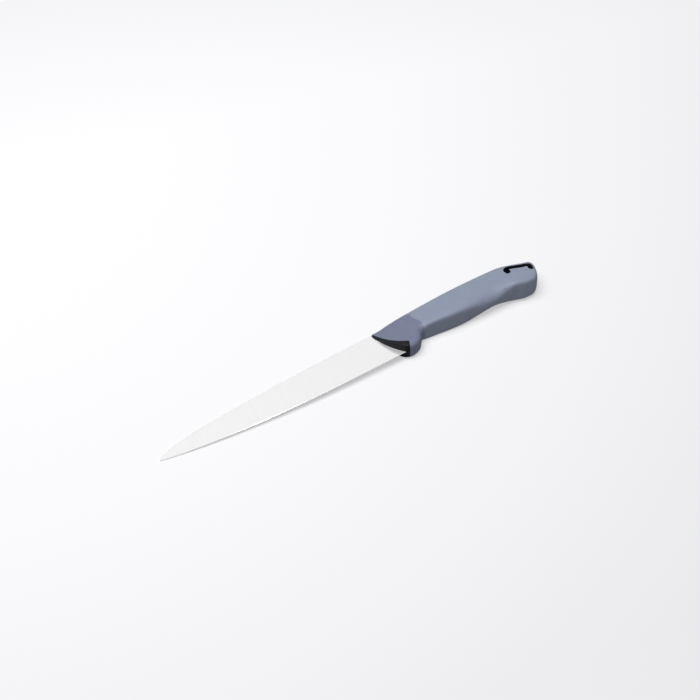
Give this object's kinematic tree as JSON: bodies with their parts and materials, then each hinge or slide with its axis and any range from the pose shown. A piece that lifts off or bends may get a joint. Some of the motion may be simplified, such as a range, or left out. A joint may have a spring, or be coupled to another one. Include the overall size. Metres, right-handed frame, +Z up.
{
  "type": "cheese knife",
  "caption": "Slim pointed cheese knife: flat-ground stainless blade with a hidden tang, dark moulded core and grey contoured grip with a finger guard, flared butt and hanging slot.",
  "frame": {"origin": "middle of the bounding box's underside, on the table that the knife lies on", "axes": "+X from the blade's tip to the handle's butt, +Y from the cutting edge to the spine, +Z up out of the table through the blade's upper face"},
  "size_m": [0.2948, 0.0316, 0.0193],
  "materials": {
    "blade_steel": "fine satin grind along the blade, bare of print",
    "core_black": "hard black moulding, low sheen",
    "grip_grey": "blue-grey soft-touch moulding, fine satin grain"
  },
  "bodies": {
    "root": {"blade": "blade_steel", "handle_core": "core_black", "handle_grip": "grip_grey"}
  },
  "joints": []
}
